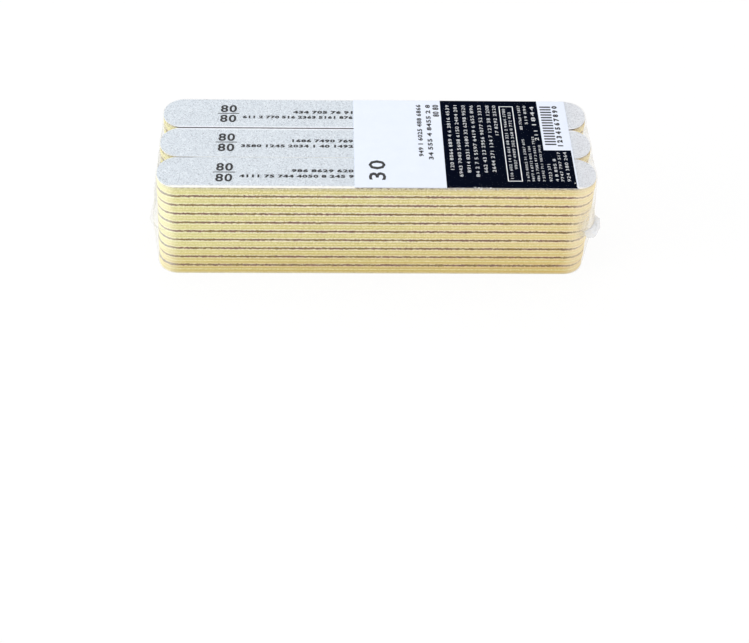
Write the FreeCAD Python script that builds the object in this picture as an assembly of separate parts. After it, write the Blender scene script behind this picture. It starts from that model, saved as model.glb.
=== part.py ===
import FreeCAD, Part
import math
import os

# A shrink-wrapped trade pack of two-sided nail files. Thirty cushioned boards lie in three stacks
# side by side, a printed card lies across the top tier, and clear film is shrunk round them all.
# Sizes in millimetres. +X runs along the boards, the front of the pack faces -Y, +Z is up, and the
# origin is the middle of the flat face that the pack rests on.

# One board: abrasive paper, foam, stiff core, foam and abrasive paper, glued face to face
board_length = 178.0
board_width = 18.84
end_flat = 1.84              # straight part between the two round corners of each end
paper_thickness = 0.5
foam_thickness = 1.57
core_thickness = 0.6
corner_flats = 5             # each round corner is cut as this many short flats

# The stacks: boards lie flush on each other, and the whole pack leans a little along its length
boards_per_stack = 10
stack_count = 3
stack_gap = 0.1
pack_lean = 1.4              # the top face lies this much nearer the right end than the base

# The printed card, which lies on the top tier near its right end
card_length = 90.2
card_thickness = 0.3
card_end_margin = 8.1        # from the card to the right end of the boards
card_side_margin = 0.2       # from the card to the pack's front and rear

# The film: a thin skin, drawn flat over the faces and pulled to a seal half way up each end
film_thickness = 0.1
film_side_clearance = 0.05
film_end_clearance = 0.15
end_bulge = 1.8              # how far the film stands out at the seal of each end
seal_thickness = 0.3
end_seal_width = 1.2
rear_seal_width = 0.6

# The ear: at the right end's front corner the weld isn't drawn round, but stands out as a blunt flap
ear_reach = 1.0              # beyond the end's weld
ear_length = 13.0            # along the end, from the pack's front
ear_run = 5.1                # along the front, from the end's weld
ear_blunting = 3.1

board_plies = (
    ("bottom_paper", paper_thickness),
    ("lower_foam", foam_thickness),
    ("core", core_thickness),
    ("upper_foam", foam_thickness),
    ("top_paper", paper_thickness),
)
board_thickness = sum(thickness for name, thickness in board_plies)
stack_pitch = board_width + stack_gap
corner_radius = (board_width - end_flat) / 2
stack_height = boards_per_stack * board_thickness
pack_depth = stack_count * board_width + (stack_count - 1) * stack_gap
lean_per_tier = pack_lean / boards_per_stack
film_height = stack_height + card_thickness + 2 * film_thickness
film_half_length = board_length / 2 + lean_per_tier + film_end_clearance
film_half_depth = pack_depth / 2 + film_side_clearance
seal_height = film_height / 2


def place(x, y, z):
    return FreeCAD.Vector(x, y, z)


def lean_at(z):
    """How far the leaning pack has moved to the right at this height."""
    return pack_lean * z / film_height


def board_outline(centre_x, centre_y, z):
    """A board from above: a strip whose ends have two round corners and a short straight between."""
    corners = ((1, 1), (-1, 1), (-1, -1), (1, -1))
    points = []
    for quarter, (side_x, side_y) in enumerate(corners):
        corner_x = centre_x + side_x * (board_length / 2 - corner_radius)
        corner_y = centre_y + side_y * end_flat / 2
        for flat in range(corner_flats + 1):
            turn = math.radians(90 * (quarter + flat / corner_flats))
            x = corner_x + corner_radius * math.cos(turn)
            y = corner_y + corner_radius * math.sin(turn)
            points.append(place(x, y, z))
    return Part.makePolygon(points + points[:1])


def ply_row(tier, base_z, thickness):
    """The same ply of every board in one tier, as separate solids side by side."""
    centre_x = lean_at(film_thickness + (tier + 1 / 2) * board_thickness)
    solids = []
    for stack in range(stack_count):
        centre_y = (stack - (stack_count - 1) / 2) * stack_pitch
        outline = board_outline(centre_x, centre_y, base_z)
        solids.append(Part.Face(outline).extrude(place(0, 0, thickness)))
    return Part.makeCompound(solids)


def board_tiers():
    """Every ply of every tier by name, from the film's floor upwards."""
    rows = {}
    base_z = film_thickness
    for tier in range(boards_per_stack):
        for name, thickness in board_plies:
            rows["tier_%02d_%s" % (tier + 1, name)] = ply_row(tier, base_z, thickness)
            base_z += thickness
    return rows


def label_card():
    """A plain oblong card that lies on the top papers and stops short of the pack's sides."""
    card_z = film_thickness + stack_height
    right_x = lean_at(card_z) + board_length / 2 - card_end_margin
    card_width = pack_depth - 2 * card_side_margin
    corner = place(right_x - card_length, -card_width / 2, card_z)
    return Part.makeBox(card_length, card_width, card_thickness, corner)


def film_outline(z, bulge, growth, end_growth=0, rear_growth=0):
    """The skin from above: an oblong with round corners, straight across the gaps between the ends."""
    half_length = film_half_length + bulge + growth + end_growth
    left = lean_at(z) - half_length
    right = lean_at(z) + half_length
    front = -film_half_depth - growth
    rear = film_half_depth + growth + rear_growth
    radius = corner_radius + film_side_clearance + growth
    inset = radius * (1 - math.sqrt(1 / 2))
    turns = []
    for x, y, inward_x, inward_y in (
        (right, front, -1, 1),
        (right, rear, -1, -1),
        (left, rear, 1, -1),
        (left, front, 1, 1),
    ):
        on_side = place(x + inward_x * radius, y, z)
        middle = place(x + inward_x * inset, y + inward_y * inset, z)
        on_end = place(x, y + inward_y * radius, z)
        forwards = inward_x * inward_y < 0
        turns.append((on_side, middle, on_end) if forwards else (on_end, middle, on_side))
    edges = []
    for turn, next_turn in zip(turns, turns[1:] + turns[:1]):
        edges.append(Part.Arc(*turn).toShape())
        edges.append(Part.makeLine(turn[-1], next_turn[0]))
    return Part.Wire(edges)


def film_body(base_z, top_z, growth):
    """A closed body through the base, the seal line and the top, with flat panels between them."""
    sections = [
        film_outline(base_z, 0, growth),
        film_outline(seal_height, end_bulge, growth),
        film_outline(top_z, 0, growth),
    ]
    return Part.makeLoft(sections, True, True)


def film_seal():
    """The welded edge: a flat strip round both ends and along the rear, half way up."""
    outline = film_outline(
        seal_height - seal_thickness / 2, end_bulge, film_thickness, end_seal_width, rear_seal_width
    )
    return Part.Face(outline).extrude(place(0, 0, seal_thickness))


def film_ear():
    """The blunt flap of gathered film, level with the weld and as thick."""
    weld_x = lean_at(seal_height) + film_half_length + end_bulge + film_thickness + end_seal_width
    front_y = -film_half_depth - film_thickness
    base_z = seal_height - seal_thickness / 2
    points = [
        place(weld_x - ear_run, front_y, base_z),
        place(weld_x + ear_reach / 2, front_y + ear_blunting, base_z),
        place(weld_x + ear_reach, front_y + 2 * ear_blunting, base_z),
        place(weld_x, front_y + ear_length, base_z),
        place(weld_x - ear_run, front_y + ear_length, base_z),
    ]
    outline = Part.makePolygon(points + points[:1])
    return Part.Face(outline).extrude(place(0, 0, seal_thickness))


def shrink_film():
    """The sealed skin: outer body, weld and ear in one piece, hollow where the boards lie."""
    outer = film_body(0, film_height, film_thickness)
    cavity = film_body(film_thickness, film_height - film_thickness, 0)
    return outer.fuse([film_seal(), film_ear()]).cut(cavity).removeSplitter()


pieces = board_tiers()
pieces["label_card"] = label_card()
pieces["shrink_film"] = shrink_film()

os.makedirs("parts", exist_ok=True)
for name, shape in pieces.items():
    shape.exportStep("parts/%s.step" % name)
print(len(pieces), "nodes,", sum(len(shape.Solids) for shape in pieces.values()), "solids")
print("film: valid", pieces["shrink_film"].isValid(), "volume", round(pieces["shrink_film"].Volume, 1))
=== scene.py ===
import math
import random

import bmesh
import bpy
from mathutils import Matrix, Vector


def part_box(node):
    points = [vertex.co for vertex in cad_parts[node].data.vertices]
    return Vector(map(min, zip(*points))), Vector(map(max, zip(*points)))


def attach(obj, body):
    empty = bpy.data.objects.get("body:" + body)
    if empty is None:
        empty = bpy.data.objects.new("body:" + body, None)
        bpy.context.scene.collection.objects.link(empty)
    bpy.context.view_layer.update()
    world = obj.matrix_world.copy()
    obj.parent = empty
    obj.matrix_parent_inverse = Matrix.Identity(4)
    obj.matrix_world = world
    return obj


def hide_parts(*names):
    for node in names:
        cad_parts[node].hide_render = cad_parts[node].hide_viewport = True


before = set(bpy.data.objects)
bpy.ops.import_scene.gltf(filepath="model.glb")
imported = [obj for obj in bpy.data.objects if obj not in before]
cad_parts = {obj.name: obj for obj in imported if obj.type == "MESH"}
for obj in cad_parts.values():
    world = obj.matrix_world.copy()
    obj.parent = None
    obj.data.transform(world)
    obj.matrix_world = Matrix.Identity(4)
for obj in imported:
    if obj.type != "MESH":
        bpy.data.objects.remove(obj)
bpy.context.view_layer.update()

# The boards. Each is a strip of five plies glued face to face and stamped out in one cut, with two
# round corners at each end: abrasive paper, soft foam, a stiff white core, foam and abrasive paper.
# Thirty lie in ten tiers of three. Nothing holds them but the film round the pack.
mm = 0.001
boards_in_a_tier = 3
tier_count = 10
board_gap = 0.1 * mm
board_end_flat = 1.84 * mm
corner_steps = 12
long_side_steps = 26
ply_smoothing = math.radians(40)
grit_chamfer = 0.07 * mm
foam_swell = 0.05 * mm          # the soft plies stand a little proud between the stiff ones
foam_rows = 4
board_slip_x = 0.12 * mm        # boards in a stack never lie quite true to each other
board_slip_y = 0.03 * mm
top_slips_y = (0.045 * mm, -0.045 * mm, 0.03 * mm)     # the top front and middle boards touch
stack_sag = 0.16 * mm
stack_sag_run = 24 * mm
same_place = 0.001 * mm         # points as close as this count as one place

first_low, first_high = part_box("tier_01_core")
board_length = first_high.x - first_low.x
row_depth = first_high.y - first_low.y
board_width = (row_depth - (boards_in_a_tier - 1) * board_gap) / boards_in_a_tier
board_pitch = board_width + board_gap
corner_radius = (board_width - board_end_flat) / 2
board_base_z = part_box("tier_01_bottom_paper")[0].z
board_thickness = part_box("tier_02_bottom_paper")[0].z - board_base_z
board_top_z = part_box("tier_10_top_paper")[1].z
front_edge = first_low.y
card_low, card_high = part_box("label_card")

# The sizes of what shows on the boards, of their flecks, and of the light and shade painted on them
grain_size = 0.24 * mm
grain_height = 0.05 * mm
wash_size = 3.5 * mm
fibre_size = 0.35 * mm
fibre_height = 0.08 * mm
speck_size = 0.8 * mm
foam_cell = 0.5 * mm
foam_cell_height = 0.06 * mm
foam_patch = 14 * mm
saw_mark = 0.5 * mm
saw_mark_height = 0.03 * mm
rim_highlight_width = 1.7 * mm             # painted highlight: the grit is painted pale along the pack's top front edge, as its rounded rim catching the light
rim_nick = 1.2 * mm
rim_ragged = 0.9 * mm
paler_band_width = 1.5 * mm         # the grit is paler this far from the gap behind the middle board
rear_gap_line_y = board_pitch / 2 - 0.12 * mm      # with a ragged dark line of painted shade along the gap itself
front_gap_line_y = -board_pitch / 2 - 0.2 * mm     # and along the left end of the gap in front of it
front_gap_line_x = -70 * mm
gap_shade_width = 0.46 * mm
front_gap_shade_width = 0.3 * mm
grit_lump = 1.5 * mm            # the size and depth of the grit that has crumbled at a joint
grit_depth = 1.75 * mm
grit_blur = 0.07 * mm
grit_patch = 5 * mm
grit_grain = 0.45 * mm
grit_low_z = 1.2 * mm           # the lowest edge of the pack shows none
pale_ends_start = 78 * mm          # the front corners are painted pale from here to the tips, as a highlight
pale_ends_full = 85 * mm
notch_reach = 7 * mm            # flecks lie this far to each side of the notch between two tips
notch_fleck = 0.9 * mm
paper_show = 0.6 * mm           # what of the pack's top and bottom paper shows as bare
rim_highlight_depth = 0.27 * mm
glue_low = 0.98 * mm            # the foam is paler with glue from here to here off a board's middle
glue_high = 1.38 * mm
darker_top_low = 2.1 * mm             # and darker from here to here below the pack's top
darker_top_high = 1.3 * mm
greener_from = -30 * mm         # the foam is greener towards the left end, warmer towards the right
warmer_from = -20 * mm          # and painted darker towards the base, as shade near the floor
tint_full = board_length / 2 - 1 * mm
base_shade_top = 20 * mm


def colour(red, green, blue):
    """A colour as a screen shows it, each part from 0 to 255, in the linear values of a shader."""
    return tuple(((part / 255 + 0.055) / 1.055) ** 2.4 for part in (red, green, blue)) + (1,)


class Signal:
    """One output in a node tree. Sums and products of signals add Math nodes to the tree."""

    def __init__(self, nodes, socket):
        self.nodes = nodes
        self.socket = socket

    def math(self, operation, *values):
        return self.nodes.add("Math", {"operation": operation}, dict(enumerate(values)))

    def __add__(self, other):
        return self.math("ADD", self, other)

    def __sub__(self, other):
        return self.math("SUBTRACT", self, other)

    def __mul__(self, other):
        return self.math("MULTIPLY", self, other)

    def __truediv__(self, other):
        return self.math("DIVIDE", self, other)

    def __pow__(self, other):
        return self.math("POWER", self, other)

    def __rsub__(self, other):
        return self.math("SUBTRACT", other, self)

    def __gt__(self, other):
        return self.math("GREATER_THAN", self, other)

    def __lt__(self, other):
        return self.math("LESS_THAN", self, other)

    def __abs__(self):
        return self.math("ABSOLUTE", self)

    def at_least(self, least):
        return self.math("MAXIMUM", self, least)

    def fraction(self):
        """What is left above the next lower whole number."""
        return self.math("FRACT", self)

    __radd__ = __add__
    __rmul__ = __mul__


class Nodes:
    """The node tree of a finish, a lamp or the sky, built up one call at a time."""

    def __init__(self, tree):
        self.tree = tree
        tree.nodes.clear()

    def add(self, kind, settings=None, sockets=None, output=0):
        node = self.tree.nodes.new("ShaderNode" + kind)
        for name, value in (settings or {}).items():
            if name == "stops":
                for _ in range(len(value) - len(node.color_ramp.elements)):
                    node.color_ramp.elements.new(1)
                for element, (position, shade) in zip(node.color_ramp.elements, value):
                    element.position = position
                    element.color = shade
            else:
                setattr(node, name, value)
        for name, value in (sockets or {}).items():
            if isinstance(value, Signal):
                self.tree.links.new(value.socket, node.inputs[name])
            else:
                node.inputs[name].default_value = value
        return Signal(self, node.outputs[output]) if node.outputs else None

    def place(self):
        return self.add("TexCoord", output="Object")

    def axes(self, place):
        """How far a place lies along, across and up."""
        node = self.add("SeparateXYZ", None, {"Vector": place}).socket.node
        return [Signal(self, node.outputs[axis]) for axis in "XYZ"]

    def mix(self, share, first, second):
        sockets = {"Factor": share, 6: first, 7: second}
        return self.add("Mix", {"data_type": "RGBA"}, sockets, 2)

    def ramp(self, value, low, high):
        """0 below the first value, 1 above the second, and a smooth rise between."""
        sockets = {"Value": value, "From Min": low, "From Max": high}
        return self.add("MapRange", {"interpolation_type": "SMOOTHSTEP"}, sockets)

    def noise(self, place, size, detail=2, roughness=0.5):
        sockets = {"Vector": place, "Scale": 1 / size, "Detail": detail, "Roughness": roughness}
        return self.add("TexNoise", None, sockets)

    def bump(self, height, distance):
        return self.add("Bump", None, {"Height": height, "Distance": distance})


def finish(name):
    """A new material and the nodes that it is built from."""
    material = bpy.data.materials.new(name)
    material.use_nodes = True
    return material, Nodes(material.node_tree)


def finish_with(nodes, shader):
    nodes.add("OutputMaterial", None, {"Surface": shader})


def finish_opaque(nodes, shade, roughness, normal=None):
    """Ends a finish with one opaque surface."""
    sockets = {"Base Color": shade, "Roughness": roughness}
    if normal:
        sockets["Normal"] = normal
    finish_with(nodes, nodes.add("BsdfPrincipled", None, sockets))


def grit_face_finish():
    """Pale grit set in resin: small grains, some darker, under a thin blueish white wash."""
    material, nodes = finish("grit_face")
    place = nodes.place()
    x, y, z = nodes.axes(place)
    cells = {"Vector": place, "Scale": 1 / grain_size}
    grain = nodes.add("TexVoronoi", None, cells, "Color")
    grain = nodes.add("SeparateColor", None, {"Color": grain}, "Red")
    dome = 1 - nodes.add("TexVoronoi", None, cells, "Distance")
    wash = nodes.noise(place, wash_size, 4, 0.6)
    shade = nodes.mix(grain, colour(181, 190, 199), colour(231, 237, 243))
    shade = nodes.mix(nodes.ramp(wash, 0.42, 0.7) * 0.35, shade, colour(198, 206, 214))
    shade = nodes.mix((grain < 0.07) * 0.7, shade, colour(132, 132, 144))
    ragged = (nodes.noise(place, rim_nick, 4, 0.75) - 0.5) * rim_ragged
    # Painted highlight: the grit along the pack's top front edge is painted pale, as its rounded rim
    # catching the light.
    painted_rim_highlight = nodes.ramp(y + ragged, front_edge + rim_highlight_width, front_edge + rim_highlight_width / 3)
    shade = nodes.mix(painted_rim_highlight * 0.85, shade, colour(252, 248, 240))
    off_rear = abs(y - rear_gap_line_y)
    off_front = abs(y - front_gap_line_y)
    paler_by_gap = nodes.ramp(off_rear, paler_band_width, paler_band_width - 0.8 * mm)
    shade = nodes.mix(paler_by_gap * 0.6, shade, colour(248, 251, 255))
    # Painted shade: a ragged dark line along the gap behind the middle board, and along the left end of
    # the gap in front of it, where the boards' facing edges lie in shade.
    painted_gap_shade = nodes.ramp(off_rear + ragged * 0.3, gap_shade_width, gap_shade_width - 0.2 * mm)
    at_left = nodes.ramp(x, front_gap_line_x, front_gap_line_x - 6 * mm)
    painted_gap_shade = painted_gap_shade + nodes.ramp(off_front, front_gap_shade_width, front_gap_shade_width / 3) * at_left
    shade = nodes.mix(painted_gap_shade * 0.95, shade, colour(52, 44, 60))
    warm_tip = nodes.ramp(x, pale_ends_start, pale_ends_full + 1 * mm)
    shade = nodes.mix(warm_tip * 0.25, shade, colour(224, 213, 212))
    finish_opaque(nodes, shade, 0.82, nodes.bump(dome, grain_height))
    return material


def height_in_board(nodes, z):
    """How far a point lies from the middle of its own board, up or down."""
    share = ((z - board_base_z) / board_thickness).fraction()
    return abs(share - 0.5) * board_thickness


def add_grit(nodes, place, shade):
    """Lays the cut grit over a shade: dark mineral next to the joint, crumbled to an uneven depth."""
    x, y, z = nodes.axes(place)
    reach = (nodes.noise(place, grit_lump, 4, 0.78) - 0.227) * grit_depth
    depth = board_thickness / 2 - height_in_board(nodes, z)
    patches = nodes.noise(place, grit_patch, 3, 0.6)
    grit = nodes.mix(nodes.ramp(patches, 0.4, 0.6), colour(156, 132, 80), colour(152, 115, 98))
    grains = nodes.noise(place, grit_grain, 2)
    grit = nodes.mix(nodes.ramp(grains, 0.52, 0.36), grit, colour(80, 62, 50))
    above_base = z > (board_base_z + grit_low_z)
    covered = nodes.ramp(depth, reach + grit_blur, reach - grit_blur) * above_base
    return nodes.mix(covered, shade, grit)


def worn_at_ends(nodes, place, shade):
    """The cut edge, painted pale at the pack's front corners as a highlight, and flecked in the
    notches.
    """
    x, y, z = nodes.axes(place)
    corner_y = front_edge + corner_radius
    at_front = nodes.ramp(y, corner_y + 3.5 * mm, corner_y - 1 * mm)
    # Painted highlight: the front corners of both ends are painted pale, the right one more.
    tint = nodes.mix(x > 0, colour(255, 252, 236), colour(255, 242, 216))
    painted_end_highlight = nodes.ramp(abs(x), pale_ends_start, pale_ends_full) * at_front * (0.28 + 0.12 * (x > 0))
    shade = nodes.mix(painted_end_highlight, shade, tint)
    off_gap = abs(abs(y) - board_pitch / 2)
    in_notch = nodes.ramp(off_gap, notch_reach, notch_reach - 2 * mm)
    in_notch = in_notch * nodes.ramp(abs(x), pale_ends_start - 2 * mm, pale_ends_start)
    lumps = nodes.noise(place, notch_fleck, 3, 0.6)
    shade = nodes.mix(nodes.ramp(lumps, 0.5, 0.57) * in_notch * 0.45, shade, colour(166, 144, 86))
    return nodes.mix(nodes.ramp(lumps, 0.6, 0.64) * in_notch * 0.8, shade, colour(70, 60, 46))


def paper_edge_finish():
    """The cut edge of the abrasive paper: cream fibres torn by the die, under the crumbling grit."""
    material, nodes = finish("paper_edge")
    place = nodes.place()
    x, y, z = nodes.axes(place)
    fibres = nodes.noise(place, fibre_size, 3, 0.6)
    shade = add_grit(nodes, place, nodes.mix(fibres, colour(236, 221, 182), colour(254, 245, 219)))
    specks = nodes.ramp(nodes.noise(place, speck_size, 3, 0.7), 0.46, 0.6)
    bare = nodes.mix(specks, colour(212, 205, 178), colour(132, 124, 112))
    in_top_paper = z > (board_top_z - paper_show)
    shade = nodes.mix(in_top_paper * 0.9, shade, bare)
    # Painted highlight: left of the card, the top edge of the pack's top paper is painted pale, as its
    # rounded rim catching the light.
    painted_top_edge_highlight = (z > (board_top_z - rim_highlight_depth)) * (x < card_low.x)
    shade = nodes.mix(painted_top_edge_highlight * 0.8, shade, colour(250, 247, 238))
    shade = nodes.mix((z < (board_base_z + paper_show)) * 0.8, shade, colour(226, 219, 178))
    # Painted shade: the top paper's cut edges that face each other across the gap behind the middle
    # board are painted dark, as in shade.
    gap_edge_shade = nodes.ramp(abs(y - board_pitch / 2), 1 * mm, 0.5 * mm) * in_top_paper
    shade = nodes.mix(gap_edge_shade * 0.9, shade, colour(58, 50, 64))
    shade = worn_at_ends(nodes, place, shade)
    finish_opaque(nodes, shade, 0.88, nodes.bump(fibres, fibre_height))
    return material


def foam_finish():
    """Yellow closed-cell foam, paler where the glue of the paper has soaked its edge."""
    material, nodes = finish("foam")
    place = nodes.place()
    x, y, z = nodes.axes(place)
    cells = nodes.noise(place, foam_cell, 3, 0.7)
    patches = nodes.noise(place, foam_patch, 2)
    glued_edge = nodes.ramp(height_in_board(nodes, z), glue_low, glue_high)
    shade = nodes.mix(patches, colour(219, 208, 134), colour(227, 216, 147))
    shade = nodes.mix(glued_edge, shade, colour(251, 244, 216))
    darker_top = nodes.ramp(z, board_top_z - darker_top_low, board_top_z - darker_top_high)
    shade = nodes.mix(darker_top * 0.75, shade, colour(202, 195, 160))
    shade = nodes.mix(nodes.ramp(cells, 0.54, 0.36) * 0.75, shade, colour(188, 172, 96))
    shade = nodes.mix(nodes.ramp(cells, 0.54, 0.68) * 0.8, shade, colour(254, 248, 206))
    greener_left = nodes.ramp(x, greener_from, -tint_full)
    shade = nodes.mix(greener_left * 0.4, shade, colour(236, 237, 170))
    warmer_right = nodes.ramp(x, warmer_from, tint_full)
    shade = nodes.mix(warmer_right * 0.45, shade, colour(244, 214, 154))
    # Painted shade: the foam darkens towards the floor.
    painted_base_shade = nodes.ramp(z, base_shade_top, 2 * mm)
    shade = nodes.mix(painted_base_shade * 0.5, shade, colour(212, 178, 92))
    shade = worn_at_ends(nodes, place, add_grit(nodes, place, shade))
    finish_opaque(nodes, shade, 0.75, nodes.bump(cells, foam_cell_height))
    return material


def core_finish():
    """The cut edge of the stiff core: off-white plastic with fine saw marks."""
    material, nodes = finish("core")
    place = nodes.place()
    marks = nodes.noise(place, saw_mark, 3, 0.7)
    shade = nodes.mix(nodes.ramp(marks, 0.35, 0.65), colour(218, 208, 140), colour(245, 237, 187))
    shade = worn_at_ends(nodes, place, shade)
    finish_opaque(nodes, shade, 0.5, nodes.bump(marks, saw_mark_height))
    return material


def start_box(name, low, high):
    """A box between two corners, as the start of a piece, opened for editing."""
    bpy.ops.object.select_all(action="DESELECT")
    bpy.ops.mesh.primitive_cube_add(size=1, location=(low + high) / 2)
    piece = bpy.context.object
    piece.name = name
    piece.data.name = name
    piece.scale = high - low
    bpy.ops.object.transform_apply(location=True, rotation=True, scale=True)
    bpy.ops.object.mode_set(mode="EDIT")
    return piece


def pick(kind, test):
    """Selects the points, edges or faces of the open piece that pass a test."""
    bpy.ops.mesh.select_mode(type=kind)
    bpy.ops.mesh.select_all(action="DESELECT")
    mesh = bpy.context.object.data
    shape = bmesh.from_edit_mesh(mesh)
    for item in {"VERT": shape.verts, "EDGE": shape.edges, "FACE": shape.faces}[kind]:
        if test(item):
            item.select_set(True)
    shape.select_flush_mode()
    bmesh.update_edit_mesh(mesh)


def is_upright(edge):
    along = (edge.verts[1].co - edge.verts[0].co).normalized()
    return abs(along.z) > 0.99


def is_level(face):
    return abs(face.normal.z) > 0.9


def slice_piece(point, normal):
    """Cuts the faces of the open piece along a plane and keeps both sides."""
    bpy.ops.mesh.select_all(action="SELECT")
    bpy.ops.mesh.bisect(plane_co=point, plane_no=normal)


def at_height(z):
    """The test for points that lie at one height."""
    return lambda point: abs(point.co.z - z) < same_place


def swell_row(z, growth):
    """Moves the points at one height out from, or in to, the middle of the board."""
    pick("VERT", at_height(z))
    scale = (1 + 2 * growth / board_length, 1 + 2 * growth / board_width, 1)
    bpy.ops.transform.resize(value=scale, center_override=(0, 0, z))


def stamp_ply(name, thickness):
    """A strip in the outline of a board, centred on the origin and resting on its plane, left open."""
    half = Vector((board_length / 2, board_width / 2, 0))
    ply = start_box(name, -half, half + Vector((0, 0, thickness)))
    pick("EDGE", is_upright)
    bpy.ops.mesh.bevel(offset=corner_radius, segments=corner_steps)
    straight = board_length - 2 * corner_radius
    for step in range(long_side_steps + 1):
        x = (step / long_side_steps - 1 / 2) * straight
        slice_piece((x, 0, 0), (1, 0, 0))
    return ply


def close_ply(ply, materials, choose):
    """Leaves edit mode, gives each face its material and smooths the round corners."""
    bpy.ops.object.mode_set(mode="OBJECT")
    for material in materials:
        ply.data.materials.append(material)
    for face in ply.data.polygons:
        face.material_index = choose(face)
    bpy.ops.object.shade_smooth_by_angle(angle=ply_smoothing)
    return ply


grit_face = grit_face_finish()
paper_edge = paper_edge_finish()
foam = foam_finish()
core = core_finish()


def paper_ply(name, thickness, grit_on_top):
    ply = stamp_ply(name, thickness)
    slice_piece((0, 0, thickness / 2), (0, 0, 1))
    swell_row(thickness if grit_on_top else 0, -grit_chamfer)
    return close_ply(ply, [grit_face, paper_edge], lambda face: 0 if is_level(face) else 1)


def foam_ply(name, thickness):
    ply = stamp_ply(name, thickness)
    for row in range(1, foam_rows):
        z = row / foam_rows * thickness
        slice_piece((0, 0, z), (0, 0, 1))
        swell_row(z, foam_swell * math.sin(math.pi * row / foam_rows))
    return close_ply(ply, [foam], lambda face: 0)


def core_ply(name, thickness):
    return close_ply(stamp_ply(name, thickness), [core], lambda face: 0)


def ply_thickness(ply_name):
    low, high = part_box("tier_01_" + ply_name)
    return high.z - low.z


patterns = {
    "bottom_paper": paper_ply("bottom_paper_pattern", ply_thickness("bottom_paper"), False),
    "lower_foam": foam_ply("lower_foam_pattern", ply_thickness("lower_foam")),
    "core": core_ply("core_pattern", ply_thickness("core")),
    "upper_foam": foam_ply("upper_foam_pattern", ply_thickness("upper_foam")),
    "top_paper": paper_ply("top_paper_pattern", ply_thickness("top_paper"), True),
}
sag_field = bpy.data.textures.new("stack_sag", "CLOUDS")
sag_field.noise_scale = stack_sag_run


def copy_to(pattern, place):
    piece = pattern.copy()
    piece.data = pattern.data.copy()
    piece.data.transform(Matrix.Translation(place))
    bpy.context.scene.collection.objects.link(piece)
    return piece


def open_alone(piece):
    bpy.ops.object.select_all(action="DESELECT")
    piece.select_set(True)
    bpy.context.view_layer.objects.active = piece


def apply_modifier(piece, kind, **settings):
    open_alone(piece)
    modifier = piece.modifiers.new(kind.lower(), kind)
    for name, value in settings.items():
        setattr(modifier, name, value)
    bpy.ops.object.modifier_apply(modifier=modifier.name)


def join_pieces(pieces, name):
    bpy.ops.object.select_all(action="DESELECT")
    for piece in pieces:
        piece.select_set(True)
    bpy.context.view_layer.objects.active = pieces[0]
    if len(pieces) > 1:
        bpy.ops.object.join()
    pieces[0].name = name
    pieces[0].data.name = name
    return pieces[0]


slip = random.Random(4)
for tier in range(1, tier_count + 1):
    slips = []
    for stack in range(boards_in_a_tier):
        slip_x = slip.uniform(-board_slip_x, board_slip_x)
        slip_y = slip.uniform(-board_slip_y, board_slip_y)
        if tier == tier_count:
            slip_x, slip_y = 0, top_slips_y[stack]
        slips.append(Vector((slip_x, slip_y, 0)))
    for ply_name, pattern in patterns.items():
        node = "tier_%02d_%s" % (tier, ply_name)
        low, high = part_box(node)
        boards = []
        for stack in range(boards_in_a_tier):
            centre_y = (stack - (boards_in_a_tier - 1) / 2) * board_pitch
            middle = Vector(((low.x + high.x) / 2, centre_y, low.z))
            boards.append(copy_to(pattern, middle + slips[stack]))
        row = join_pieces(boards, "%s_row_%02d" % (ply_name, tier))
        apply_modifier(row, "DISPLACE", texture=sag_field, direction="Z", strength=stack_sag)
        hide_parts(node)
        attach(row, "root")
for pattern in patterns.values():
    bpy.data.objects.remove(pattern)

# The print on the three top boards: black ink rolled on over the grit. Each board has a plain grit
# number for its two sides near the left end, and two lines of small plain numbers up to the card.
ink_lift = 0.05 * mm
ink_thickness = 0.02 * mm
grit_number_x = -60.5 * mm
grit_number_size = 6.4 * mm
grit_number_rise = 3.3 * mm
grit_number_bar = Vector((9 * mm, 0.45 * mm, ink_thickness))
small_line_size = 2.3 * mm
small_line_margin = 0.3 * mm    # from the end of a line to the card
ink_cover_size = 0.5 * mm
digit_share = 0.75              # how wide a digit is with its spacing, as a share of the type's size
word_space_share = 0.75         # the spaces of words and digits, as shares of the type's own
digit_space_share = 1.14
small_lines = ((-33.4 * mm, 0.3 * mm), (-54.4 * mm, -3.1 * mm))    # left end, and offset on the board


def ink_finish(name, shade_low, shade_high):
    """Ink that has taken unevenly on what is under it."""
    material, nodes = finish(name)
    cover = nodes.noise(nodes.place(), ink_cover_size, 3, 0.6)
    shade = nodes.mix(nodes.ramp(cover, 0.35, 0.75), shade_low, shade_high)
    finish_opaque(nodes, shade, 0.5)
    return material


def number_words(draw, length, size):
    """Plain numbers of one to four digits, with spaces between, enough to fill a line."""
    words = ""
    while len(words) < length / (digit_share * size) - 2:
        digits = draw.choice((1, 2, 3, 3, 4, 4))
        words = words + " " + str(draw.randrange(10 ** (digits - 1), 10**digits))
    return words.strip()


def flat_text(body, size, length=None, steps=2, boldness=0.0):
    """Numbers as a thin solid on the ground plane, from the origin along +X, drawn out to a length."""
    bpy.ops.object.select_all(action="DESELECT")
    bpy.ops.object.text_add(location=(0, 0, 0))
    text = bpy.context.object
    text.data.body = body
    text.data.size = size
    text.data.extrude = ink_thickness / 2
    text.data.resolution_u = steps
    text.data.offset = boldness * size
    text.data.space_word = word_space_share
    text.data.space_character = digit_space_share
    bpy.ops.object.convert(target="MESH")
    text = bpy.context.object
    reach = [point.co.x for point in text.data.vertices]
    stretch = length / (max(reach) - min(reach)) if length else 1
    text.data.transform(Matrix.Diagonal((stretch, 1, 1, 1)) @ Matrix.Translation((-min(reach), 0, 0)))
    return text


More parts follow.
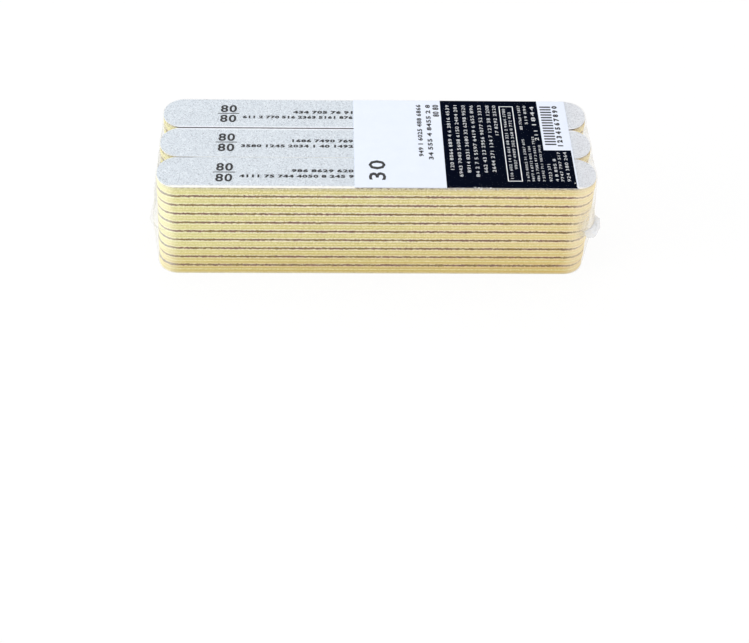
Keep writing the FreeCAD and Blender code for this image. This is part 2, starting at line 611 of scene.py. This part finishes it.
board_ink = ink_finish("board_ink", colour(4, 4, 8), colour(24, 24, 32))
draw_board = random.Random(11)
for stack in range(boards_in_a_tier):
    centre_y = (stack - (boards_in_a_tier - 1) / 2) * board_pitch
    ink_z = board_top_z + ink_lift
    prints = []
    for rise in (grit_number_rise, -grit_number_rise):
        number = flat_text("80", grit_number_size, steps=6, boldness=0.025)
        width = max(point.co.x for point in number.data.vertices)
        tall = max(point.co.y for point in number.data.vertices)
        place = Vector((grit_number_x - width / 2, centre_y + rise - tall / 2, ink_z))
        number.data.transform(Matrix.Translation(place))
        prints.append(number)
    middle = Vector((grit_number_x, centre_y, ink_z))
    bar = start_box("bar", middle - grit_number_bar / 2, middle + grit_number_bar / 2)
    pick("EDGE", is_upright)
    bpy.ops.mesh.bevel(offset=grit_number_bar.y / 3, segments=2)
    bpy.ops.object.mode_set(mode="OBJECT")
    prints.append(bar)
    for left, offset in small_lines:
        length = card_low.x - small_line_margin - left
        words = number_words(draw_board, length, small_line_size)
        line = flat_text(words, small_line_size, length, boldness=0.05)
        line.data.transform(Matrix.Translation((left, centre_y + offset, ink_z)))
        prints.append(line)
    printed = join_pieces(prints, "board_print_%d" % (stack + 1))
    printed.data.materials.clear()
    printed.data.materials.append(board_ink)
    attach(printed, "root")

# The card: a loose oblong of white board across the three stacks, under the film. Its right half is
# printed black, but for a narrow white margin and a white patch at the rear corner.
panel_left = 29.07 * mm
panel_margin = 0.6 * mm
patch_left = 70.4 * mm
patch_front = -4.4 * mm
card_bends = 24
card_folds = 12
card_wave = 0.04 * mm
ink_show = 0.05 * mm            # the black and the cut edge start this far below the card's face
edge_show = 0.06 * mm
ink_nick = 0.4 * mm
ink_ragged = 0.08 * mm
mottle_size = 6 * mm
fray_size = 0.9 * mm
card_grain = 0.6 * mm
card_grain_height = 0.008 * mm


def card_finish():
    """Coated white board: a faint blue white with soft mottling, and the solid black of the panel."""
    material, nodes = finish("printed_card")
    place = nodes.place()
    x, y, z = nodes.axes(place)
    ragged = (nodes.noise(place, ink_nick, 2) - 0.5) * ink_ragged
    black = ((x + ragged) > panel_left) * ((x + ragged) < (card_high.x - panel_margin))
    patch = ((x + ragged) > patch_left) * ((y + ragged) > patch_front)
    black = black * (1 - patch) * (z > (card_high.z - ink_show))
    mottle = nodes.noise(place, mottle_size, 3, 0.6)
    white = nodes.mix(mottle, colour(223, 230, 244), colour(231, 237, 249))
    # The card's cut front edge: frayed grey board, partly its own colour and partly painted shade under
    # the card's edge, darker below the black half.
    shaded_front_edge = (z < (card_high.z - edge_show)) * (y < (card_low.y + edge_show))
    frayed = nodes.ramp(nodes.noise(place, fray_size, 3, 0.7), 0.35, 0.65)
    cut = nodes.mix(frayed, colour(128, 122, 112), colour(196, 190, 176))
    white = nodes.mix(shaded_front_edge * (0.65 + 0.25 * (x > panel_left)), white, cut)
    ink = nodes.mix(mottle, colour(5, 9, 22), colour(8, 14, 29))
    sockets = {
        "Base Color": nodes.mix(black, white, ink),
        "Roughness": 0.42,
        "Specular IOR Level": 0.0,
        "Normal": nodes.bump(nodes.noise(place, card_grain, 2), card_grain_height),
    }
    finish_with(nodes, nodes.add("BsdfPrincipled", None, sockets))
    return material


card = start_box("printed_card", card_low, card_high)
for step in range(1, card_bends):
    x = card_low.x + step / card_bends * (card_high.x - card_low.x)
    slice_piece((x, 0, 0), (1, 0, 0))
for step in range(1, card_folds):
    y = card_low.y + step / card_folds * (card_high.y - card_low.y)
    slice_piece((0, y, 0), (0, 1, 0))
bpy.ops.object.mode_set(mode="OBJECT")
card.data.materials.append(card_finish())
apply_modifier(card, "DISPLACE", texture=sag_field, direction="Z", strength=card_wave)
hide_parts("label_card")
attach(card, "root")

# The print on the card: lines of small plain numbers that run from front to rear, black on the white
# half and white on the black half, a thin white frame round two of them, and a row of even bars.
card_ink_lift = 0.03 * mm
white_lines = (
    # middle of the line, its front end, its rear end and its size
    (19.6, -8.8, 25.3, 2.6),
    (23.6, -10.7, 25.3, 2.6),
)
count_line = (1.2, -23.6, -11.4, 9.5)
grit_line = (26.9, 17.2, 25.3, 3.4)
panel_lines = (
    (32.0, -17.0, 25.0, 2.15),
    (35.4, -21.3, 25.0, 2.15),
    (38.8, -18.7, 25.0, 2.15),
    (42.2, -21.3, 25.0, 2.15),
    (45.6, -18.7, 25.0, 2.15),
    (49.0, -18.3, 25.0, 2.15),
    (51.9, 5.3, 25.0, 1.98),
    (55.9, -22.4, 22.8, 1.72),
    (58.1, -16.5, 20.4, 1.72),
    (62.4, 9.0, 25.0, 1.72),
    (64.9, 12.6, 25.0, 1.72),
    (68.0, 12.0, 24.5, 2.49),
    (68.3, 1.9, 8.3, 2.24),
    (62.4, -24.0, 2.6, 1.46),
    (64.5, -24.0, -1.9, 1.46),
    (66.6, -24.0, 4.2, 1.46),
    (68.8, -24.0, -1.2, 1.46),
    (71.6, -24.0, -13.3, 1.81),
    (74.1, -24.0, -10.0, 1.81),
    (76.3, -24.0, -5.6, 1.72),
    (78.9, -24.0, -5.6, 1.98),
)
frame_low = Vector((54.0, -24.1, 0)) * mm
frame_high = Vector((60.0, 24.5, 0)) * mm
frame_line = 0.34 * mm
bar_count = 15
bar_left = 71.4 * mm
bar_length = 4.7 * mm
bar_width = 0.85 * mm
bar_front = -1.0 * mm
bar_rear = 24.6 * mm
bar_numbers = (77.6, -1.8, 25.0, 2.8)
card_ink_z = card_high.z + card_ink_lift
draw_card = random.Random(23)


def turned_line(body, middle, front, rear, size, boldness=0.0):
    """A line of numbers that reads from the card's front to its rear, with its feet to the right."""
    line = flat_text(body, size * mm, (rear - front) * mm, boldness=boldness)
    tall = max(point.co.y for point in line.data.vertices)
    place = Matrix.Translation((middle * mm + tall / 2, front * mm, card_ink_z))
    line.data.transform(place @ Matrix.Rotation(math.radians(90), 4, "Z"))
    return line


def fill_line(middle, front, rear, size, boldness=0.0):
    words = number_words(draw_card, rear - front, size)
    return turned_line(words, middle, front, rear, size, boldness)


def line_frame():
    """A thin frame: a plate inset above and below, and bridged to open its middle."""
    plate = start_box("frame", frame_low + Vector((0, 0, card_ink_z)),
                      frame_high + Vector((0, 0, card_ink_z + ink_thickness)))
    pick("FACE", is_level)
    bpy.ops.mesh.inset(thickness=frame_line)
    bpy.ops.mesh.bridge_edge_loops()
    bpy.ops.object.mode_set(mode="OBJECT")
    return plate


def print_piece(parts, name, material):
    printed = join_pieces(parts, name)
    printed.data.materials.clear()
    printed.data.materials.append(material)
    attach(printed, "root")
    return printed


black_parts = [fill_line(*line, boldness=0.035) for line in white_lines]
black_parts.append(turned_line("80 80", *grit_line, boldness=0.04))
black_parts.append(turned_line("30", *count_line, boldness=0.015))
bar_low = Vector((bar_left, 0, card_ink_z))
first_bar = start_box("bar", bar_low, bar_low + Vector((bar_length, bar_width, ink_thickness)))
pick("EDGE", is_upright)
bpy.ops.mesh.bevel(offset=bar_width / 4, segments=2)
bpy.ops.object.mode_set(mode="OBJECT")
for step in range(bar_count):
    y = bar_front + step / (bar_count - 1) * (bar_rear - bar_width - bar_front)
    black_parts.append(copy_to(first_bar, (0, y, 0)))
bpy.data.objects.remove(first_bar)
black_parts.append(turned_line("1 2 3 4 5 6 7 8 9 0", *bar_numbers, boldness=0.06))
print_piece(black_parts, "card_print_black", board_ink)
panel_parts = [fill_line(*line, boldness=-0.01) for line in panel_lines]
panel_parts.append(line_frame())
panel_ink = ink_finish("panel_ink", colour(236, 240, 246), colour(255, 255, 255))
print_piece(panel_parts, "card_print_white", panel_ink)

# The film: clear plastic shrunk round the boards and the card. It is flat on the faces, drawn over
# the ends to a weld half way up in fine pleats, and dips a little between the boards' round ends.
film_low, film_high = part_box("shrink_film")
film_slack = 0.39 * mm
film_wall = 0.05 * mm
film_radius = corner_radius + 0.15 * mm
film_bulge = 1.8 * mm
film_dip = 0.45 * mm
film_columns = 60
film_bends = 44
film_rows = 12
film_corner_steps = 10
film_smoothing = math.radians(30)
film_drape = 0.2 * mm           # the step down from the card on to the boards
film_drape_run = 1.0 * mm
pleat_depth = 0.3 * mm
weld_z = film_high.z / 2
film_reach = board_length / 2 + film_slack
film_side = -film_low.y
tenth_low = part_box("tier_10_core")[0]
lean_slope = (tenth_low.x - first_low.x) / (tenth_low.z - first_low.z)
film_top_z = film_high.z
top_show = 0.5 * mm             # what lies less than this below the pack's top is its top face
rim_show = 1.3 * mm             # the card's front edge lies less than this below the top, and
rim_reach = 0.4 * mm            # the film over it starts this far behind that edge
fold_size = 7 * mm
fold_height = 0.25 * mm
notch_haze = 3.6 * mm           # the film is milky this far to each side of the notch between tips
weld_haze = 9 * mm
gather_start = 83 * mm          # the film is gathered, and so milky, at its front right corner
gather_full = 87.5 * mm
gather_rise = 4 * mm            # most of all this far above the weld
gather_reach = 11 * mm          # and as far as this above and below that
gather_depth = 12 * mm          # and as far back as this from the front
streak_size = 2.2 * mm
foot_start = 85.5 * mm          # the film is also milky at the ear's foot
foot_full = 88.5 * mm
foot_reach = 4.5 * mm
ear_clearance = 0.15 * mm       # what stands off the skin by more than this is the ear
glint_left = 28 * mm            # flecks of light along the card's front edge, faded at both ends
glint_right = 53 * mm
glint_fade = 5 * mm
fleck_size = 0.7 * mm
crease_width = 0.42 * mm
ear_low = Vector((87.4, -28.35, 0)) * mm
ear_high = Vector((94.0, -15.4, 0)) * mm
card_creases = (
    # the two ends of each short crease near the card's front right corner, painted white as a glint
    ((81.6 * mm, -26.6 * mm), (82.55 * mm, -28.2 * mm)),
    ((80.95 * mm, -24.85 * mm), (81.2 * mm, -25.25 * mm)),
)


def ear_and_gathers(nodes, place):
    """Where the ear is, and how white the gathered film on the corner beside it is."""
    x, y, z = nodes.axes(place)
    off_weld = abs(z - weld_z)
    corner_x = lean_slope * z + film_bulge * (1 - off_weld / weld_z) + (film_reach - film_radius)
    over_x = (x - corner_x).at_least(0)
    over_y = ((film_radius - film_side) - y).at_least(0)
    beyond_skin = (over_x**2 + over_y**2) ** 0.5 - film_radius
    near_ear = (x > (ear_low.x - 1.4 * mm)) * (y < (ear_high.y + 2 * mm))
    on_ear = (beyond_skin > ear_clearance) * near_ear
    off_gathers = abs(z - (weld_z + gather_rise))
    gathers = nodes.ramp(x, gather_start, gather_full)
    gathers = gathers * nodes.ramp(off_gathers, gather_reach, gather_reach - 7 * mm)
    streaks = nodes.ramp(nodes.noise(place, streak_size, 3, 0.6), 0.35, 0.6)
    foot = nodes.ramp(x, foot_start, foot_full) * nodes.ramp(off_weld, foot_reach, foot_reach / 3)
    at_corner = nodes.ramp(y, ear_low.y + gather_depth, ear_low.y + gather_depth - 7 * mm)
    gathers = (gathers * (0.14 + 0.24 * streaks) + foot * 0.3) * at_corner * (1 - on_ear)
    return on_ear, gathers


def card_glints(nodes, place, on_top):
    """Painted glints: how white the film is along the card's front edge and on the creases at its
    corner.
    """
    x, y, z = nodes.axes(place)
    flecks = nodes.ramp(nodes.noise(place, fleck_size, 2), 0.56, 0.64)
    on_rim = (y < (card_low.y + rim_reach)) * (z > (film_top_z - rim_show))
    flecks = flecks * on_rim * nodes.ramp(x, glint_left, glint_left + glint_fade)
    glints = flecks * nodes.ramp(x, glint_right, glint_right - glint_fade) * 0.85
    for (start_x, start_y), (end_x, end_y) in card_creases:
        run = Vector((end_x - start_x, end_y - start_y, 0))
        along = ((x - start_x) * run.x + (y - start_y) * run.y) / run.length_squared
        off = abs((x - start_x) * run.y - (y - start_y) * run.x) / run.length
        line = nodes.ramp(off, crease_width, crease_width - 0.3 * mm) * (along > 0) * (along < 1)
        glints = glints + line * on_top * 0.8
    return glints


def film_finish():
    """Clear film with a sheen at glancing angles, and a white haze where it is creased or welded,
    partly as painted glints.
    """
    material, nodes = finish("clear_film")
    place = nodes.place()
    x, y, z = nodes.axes(place)
    glance = nodes.add("LayerWeight", None, {"Blend": 0.5}, "Facing")
    stretched = nodes.add("Mapping", None, {"Vector": place, "Scale": (0.25, 1, 1)})
    folds = nodes.add("TexNoise", {"noise_type": "RIDGED_MULTIFRACTAL"},
                      {"Vector": stretched, "Scale": 1 / fold_size, "Detail": 3, "Roughness": 0.5})
    crease = nodes.ramp(folds, 1.45, 1.9)
    off_middle = abs((lean_slope * z - x) / film_reach)
    near_end = nodes.ramp(off_middle, 0.9, 0.99)
    at_tip = nodes.ramp(off_middle, 0.93, 0.98)
    at_end = nodes.ramp(off_middle, 0.985, 1.01)
    near_weld = nodes.ramp(abs(z - weld_z), weld_haze, 0.5 * mm) * at_end
    on_top = z > (film_top_z - top_show)
    over_side = (z < (film_top_z - top_show)) * near_end
    off_gap = abs(abs(y) - board_pitch / 2)
    over_notch = nodes.ramp(off_gap, notch_haze, notch_haze / 3) * near_end * on_top
    on_ear, gathers = ear_and_gathers(nodes, place)
    haze = 0.12 * nodes.ramp(glance, 0.55, 1.0) * (1 - 0.85 * at_tip)
    # Where the film is creased, the white haze is partly its own milkiness and partly painted glints.
    haze = haze + crease * (0.004 + 0.08 * at_end) + near_weld * 0.06 + over_side * 0.04
    haze = haze + over_notch * 0.22 + gathers + on_ear * 0.52 + card_glints(nodes, place, on_top)
    bend = nodes.bump(folds, fold_height)
    clear = nodes.add("BsdfTransparent", None, {"Color": (0.985, 0.985, 0.985, 1)})
    white = nodes.add("BsdfPrincipled", None, {
        "Base Color": nodes.mix(on_ear, colour(248, 248, 246), colour(240, 244, 252)),
        "Roughness": 0.3, "Normal": bend})
    lit_through = nodes.add("BsdfTranslucent", None, {"Color": (0.97, 0.97, 0.97, 1), "Normal": bend})
    white = nodes.add("MixShader", None, {0: 0.5, 1: white, 2: lit_through})
    gloss = nodes.add("BsdfGlossy", None, {
        "Color": (0.94, 0.94, 0.95, 1), "Roughness": 0.08, "Normal": bend})
    hazed = nodes.add("MixShader", None, {0: haze, 1: clear, 2: white})
    sheen = 0.0004 + 0.35 * nodes.ramp(glance, 0.6, 1.0) ** 2 * (1 - 0.85 * at_tip)
    finish_with(nodes, nodes.add("MixShader", None, {0: sheen, 1: hazed, 2: gloss}))
    return material


def shift_points(test, offset):
    pick("VERT", test)
    bpy.ops.transform.translate(value=offset)


def shape_end(side, z, bulge, pleats):
    """Moves one row of an end out to its bulge, in between the boards' tips, and into pleats."""
    inner = film_reach - film_radius
    in_row = at_height(z)
    shift_points(lambda point: in_row(point) and side * point.co.x > inner - same_place,
                 (side * bulge, 0, 0))
    for step in range(1, film_columns):
        y = (2 * step / film_columns - 1) * film_side
        dip = 0.0
        if abs(y) < board_pitch:
            dip = film_dip * (1 - math.cos(2 * math.pi * y / board_pitch)) / 2
        offset = pleats.uniform(-pleat_depth, 0) * (bulge > 0) - dip
        if abs(y) < film_side - film_radius:
            shift_points(lambda point: in_row(point) and abs(point.co.y - y) < same_place
                         and side * point.co.x > inner, (side * offset, 0, 0))


def film_skin():
    """The skin as one sheet without a wall: an oblong cut into a grid, bulged, pleated and draped."""
    film = start_box("film_skin", Vector((-film_reach, -film_side, 0)),
                     Vector((film_reach, film_side, film_top_z)))
    pick("EDGE", is_upright)
    bpy.ops.mesh.bevel(offset=film_radius, segments=film_corner_steps)
    for step in range(1, film_columns):
        slice_piece((0, (2 * step / film_columns - 1) * film_side, 0), (0, 1, 0))
    for step in range(1, film_bends):
        slice_piece(((2 * step / film_bends - 1) * film_reach, 0, 0), (1, 0, 0))
    slice_piece((0, 0, weld_z), (0, 0, 1))
    pleats = random.Random(31)
    for z, bulge in ((0, 0), (weld_z, film_bulge), (film_top_z, 0)):
        for side in (-1, 1):
            shape_end(side, z, bulge, pleats)
    for z in (weld_z, film_top_z):
        shift_points(at_height(z), (lean_slope * z, 0, 0))
    drape_low = card_low.x - film_drape_run
    drape_high = card_high.x + film_drape_run
    for x in (drape_low, card_low.x, drape_high, card_high.x):
        slice_piece((x, 0, 0), (1, 0, 0))
    shift_points(lambda point: point.co.z > film_top_z - same_place and not
                 card_low.x - film_drape_run / 2 < point.co.x < card_high.x + film_drape_run / 2,
                 (0, 0, -film_drape))
    for step in range(1, film_rows):
        if 2 * step != film_rows:
            slice_piece((0, 0, step / film_rows * (film_top_z - 2 * film_drape)), (0, 0, 1))
    bpy.ops.object.mode_set(mode="OBJECT")
    return film


film_material = film_finish()
skin = film_skin()

# The weld: where the film was sealed, a narrow crinkled strip stands out half way up, round both ends
# and along the rear. It grows out of the skin's own edge, so the skin gets its wall only after it.
weld_steps = 3
weld_width = 1.1 * mm
rear_weld_width = 0.42 * mm
weld_crinkle = 0.07 * mm
weld_wall = 0.08 * mm
weld_front = 0.3 * mm - film_side       # the front has no weld
weld_anchor = Vector((lean_slope * weld_z, 0.1 * mm - film_side, weld_z))


def weld_strip():
    """A copy of the skin's edge at the weld's height, drawn out step by step from its front."""
    open_alone(skin)
    bpy.ops.object.mode_set(mode="EDIT")
    inner = film_reach - film_radius

    def on_weld(edge):
        first, second = edge.verts
        if not (at_height(weld_z)(first) and at_height(weld_z)(second)):
            return False
        middle = (first.co + second.co) / 2
        if min(first.co.y, second.co.y) < weld_front:
            return False
        return abs(middle.x - weld_anchor.x) > inner or middle.y > 0

    pick("EDGE", on_weld)
    bpy.ops.mesh.duplicate()
    bpy.ops.mesh.separate(type="SELECTED")
    bpy.ops.object.mode_set(mode="OBJECT")
    strip = [piece for piece in bpy.context.selected_objects if piece != skin][0]
    strip.name = "film_weld"
    strip.data.name = "film_weld"
    open_alone(strip)
    bpy.ops.object.mode_set(mode="EDIT")
    bpy.ops.mesh.select_all(action="SELECT")
    growth = (weld_width / film_reach, rear_weld_width / (2 * film_side), 0)
    for step in range(weld_steps):
        bpy.ops.mesh.extrude_edges_move()
        scale = [1 + share / weld_steps for share in growth]
        bpy.ops.transform.resize(value=scale, center_override=weld_anchor)
    bpy.ops.mesh.select_all(action="SELECT")
    bpy.ops.transform.vertex_random(offset=weld_crinkle, seed=5)
    bpy.ops.object.mode_set(mode="OBJECT")
    return strip


def finish_film_piece(piece):
    piece.data.materials.clear()
    piece.data.materials.append(film_material)
    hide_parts("shrink_film")
    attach(piece, "root")


strip = weld_strip()
apply_modifier(strip, "SOLIDIFY", thickness=weld_wall, offset=0)
finish_film_piece(strip)
apply_modifier(skin, "SOLIDIFY", thickness=film_wall, offset=-1)
bpy.ops.object.shade_smooth_by_angle(angle=film_smoothing)
finish_film_piece(skin)

# The ear: at the right end's front corner the weld was not drawn round, and a crumpled flap of it
# stands out from the corner and droops towards the front.
ear_cells = (30, 56)
ear_cuts = (
    # a point on the cut, and the direction of what is cut off
    ((93.75 * mm, -25.2 * mm), (1.0, -0.62)),
    ((92.0 * mm, -27.6 * mm), (0.62, -1.0)),
    ((93.6 * mm, -20.4 * mm), (1.0, 0.52)),
)
ear_root = 0.25 * mm            # how deep the flap starts inside the skin
ear_free = 1.6 * mm             # and how far from the skin it hangs quite free
ear_lift = 1.6 * mm
ear_droop = 4.7 * mm
ear_crumple = 2.4 * mm
ear_crumple_size = 2.6 * mm
ear_wall = 0.06 * mm


def ear_flap():
    """A fine flat grid, cut blunt, fitted round the film's corner, then lifted and drooped."""
    bpy.ops.object.select_all(action="DESELECT")
    middle = (ear_low + ear_high) / 2 + Vector((0, 0, weld_z))
    bpy.ops.mesh.primitive_grid_add(x_subdivisions=ear_cells[0], y_subdivisions=ear_cells[1], size=1,
                                    location=middle)
    flap = bpy.context.object
    flap.name = "film_ear"
    flap.data.name = "film_ear"
    flap.scale = (ear_high.x - ear_low.x, ear_high.y - ear_low.y, 1)
    bpy.ops.object.transform_apply(location=True, rotation=True, scale=True)
    bpy.ops.object.mode_set(mode="EDIT")
    for (x, y), direction in ear_cuts:
        bpy.ops.mesh.select_all(action="SELECT")
        bpy.ops.mesh.bisect(plane_co=(x, y, weld_z), plane_no=(*direction, 0), clear_outer=True)
    corner = Vector((weld_anchor.x + film_reach + film_bulge - film_radius, film_radius - film_side, 0))

    def beyond_skin(point):
        """How far a point lies outside the film's round corner."""
        if point.y > corner.y:
            return point.x - corner.x - film_radius
        if point.x < corner.x:
            return corner.y - point.y - film_radius
        return (point.xy - corner.xy).length - film_radius

    pick("FACE", lambda face: beyond_skin(face.calc_center_median()) < -ear_root)
    bpy.ops.mesh.delete(type="FACE")
    bpy.ops.object.mode_set(mode="OBJECT")
    loose = flap.vertex_groups.new(name="loose")
    for point in flap.data.vertices:
        free = min(1, max(0, beyond_skin(point.co) / ear_free))
        loose.add([point.index], free, "REPLACE")
        forward = min(1, max(0, (corner.y - point.co.y) / film_radius))
        point.co.z += (ear_lift - ear_droop * forward**1.5) * free
    return flap


ear = ear_flap()
crumple_field = bpy.data.textures.new("ear_crumple", "CLOUDS")
crumple_field.noise_scale = ear_crumple_size
crumple_field.noise_depth = 2
apply_modifier(ear, "DISPLACE", texture=crumple_field, direction="Z", strength=ear_crumple,
               vertex_group="loose")
apply_modifier(ear, "SOLIDIFY", thickness=ear_wall, offset=0)
finish_film_piece(ear)

# The floor: a plain white table top, wide enough to fill every view.
floor_size = 6
floor_glow_share = 0.93


def floor_finish():
    """White to the camera, with a little of its own lit surface mixed in to hold the shadow."""
    material, nodes = finish("floor")
    lit = nodes.add("BsdfDiffuse", None, {"Color": colour(245, 245, 245)})
    white = nodes.add("Emission", None, {"Color": (1, 1, 1, 1), "Strength": 1})
    seen = nodes.add("LightPath", output="Is Camera Ray")
    mirrored = nodes.add("LightPath", output="Is Glossy Ray")
    through = nodes.add("LightPath", output="Is Transmission Ray")
    share = (seen + mirrored + through) * floor_glow_share
    finish_with(nodes, nodes.add("MixShader", None, {0: share, 1: lit, 2: white}))
    return material


bpy.ops.object.select_all(action="DESELECT")
bpy.ops.mesh.primitive_plane_add(size=floor_size, location=(0, 0, 0))
floor = bpy.context.object
floor.name = "floor"
floor.data.materials.append(floor_finish())

# The light: an even pale sky, a soft lamp above, a strong one at the left and a weaker at the right.
sky_strength = 0.62
lamps = (
    # name, place, size, power and colour
    ("lamp_above", (-0.1, 0.35, 1.0), 0.8, 4.2, (1.0, 1.0, 1.0)),
    ("lamp_left", (-0.9, -0.25, 0.42), 0.6, 6.0, (0.97, 0.99, 1.0)),
    ("lamp_right", (0.9, -0.3, 0.35), 0.6, 3.0, (1.0, 0.94, 0.86)),
)
bpy.context.scene.world = bpy.data.worlds.new("sky")
bpy.context.scene.world.use_nodes = True
sky = Nodes(bpy.context.scene.world.node_tree)
seen_sky = sky.add("LightPath", output="Is Camera Ray")
seen_sky = seen_sky + sky.add("LightPath", output="Is Glossy Ray")
seen_sky = seen_sky + sky.add("LightPath", output="Is Transmission Ray")
strength = seen_sky * (1 - sky_strength) + sky_strength
background = sky.add("Background", None, {"Color": (1, 1, 1, 1), "Strength": strength})
sky.add("OutputWorld", None, {"Surface": background})
for name, place, size, power, tint in lamps:
    bpy.ops.object.light_add(type="AREA", location=place)
    lamp = bpy.context.object
    lamp.name = name
    lamp.data.size = size
    lamp.data.energy = power
    lamp.data.color = tint
    lamp.rotation_euler = (-Vector(place)).to_track_quat("-Z", "Y").to_euler()
bpy.context.scene.view_settings.view_transform = "Standard"

# The camera: above and in front of the pack, looking down on it, turned a little to one side.
camera_place = (-22.46 * mm, -521.44 * mm, 480.64 * mm)
camera_dip = math.radians(39.310)
camera_turn = math.radians(-2.516)
camera_roll = math.radians(1.957)
lens_length = 78.799
view_shift = -0.25274           # the picture is cut from below the middle of the view
bpy.ops.object.camera_add(location=camera_place)
camera = bpy.context.object
tilt = Matrix.Rotation(math.radians(90) - camera_dip, 4, "X")
turn = Matrix.Rotation(camera_turn, 4, "Z")
camera.rotation_euler = (turn @ tilt @ Matrix.Rotation(camera_roll, 4, "Z")).to_euler()
camera.data.lens = lens_length
camera.data.sensor_width = 36
camera.data.shift_y = view_shift
camera.data.clip_start = 10 * mm
bpy.context.scene.camera = camera
